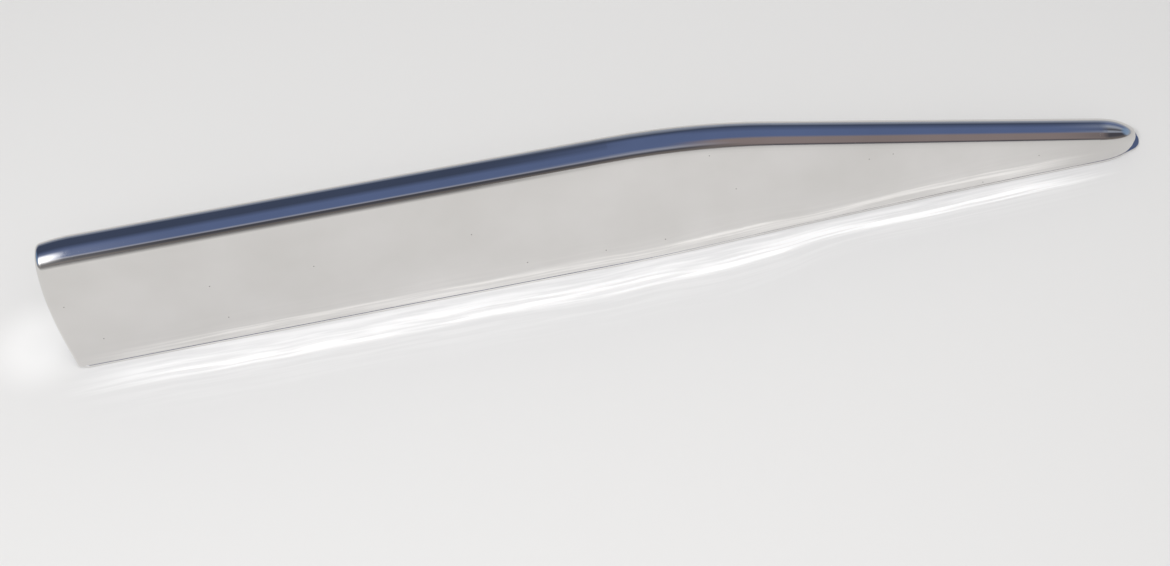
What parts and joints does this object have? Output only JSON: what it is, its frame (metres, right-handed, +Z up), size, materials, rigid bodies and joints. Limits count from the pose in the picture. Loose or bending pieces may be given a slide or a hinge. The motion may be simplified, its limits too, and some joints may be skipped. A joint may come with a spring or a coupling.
{
  "type": "canoe splash rail",
  "caption": "Mirror-polished stainless splash rail: a tall hollow face with a wired bead edge, level then falling to a rounded nose, on a screw-down flange.",
  "frame": {"origin": "centre of the bounding box, on the underside of the base flange", "axes": "+X along the rail from the square aft end to the nose, +Y from the polished face to the open back, +Z up off the deck"},
  "size_m": [0.914, 0.07, 0.121],
  "materials": {
    "polished_stainless": "mirror-polished stainless steel sheet",
    "flange_stainless": "polished stainless steel plate",
    "brushed_stainless": "brushed stainless steel, unpolished inside",
    "mill_stainless": "drawn stainless steel tube"
  },
  "bodies": {
    "root": {"face_sheet": "polished_stainless", "core_tube": "mill_stainless", "aft_end_cap": "polished_stainless", "nose_cap": "polished_stainless", "base_flange": "flange_stainless", "gusset_1": "brushed_stainless", "gusset_2": "brushed_stainless", "gusset_3": "brushed_stainless", "gusset_4": "brushed_stainless", "gusset_5": "brushed_stainless"}
  },
  "joints": []
}
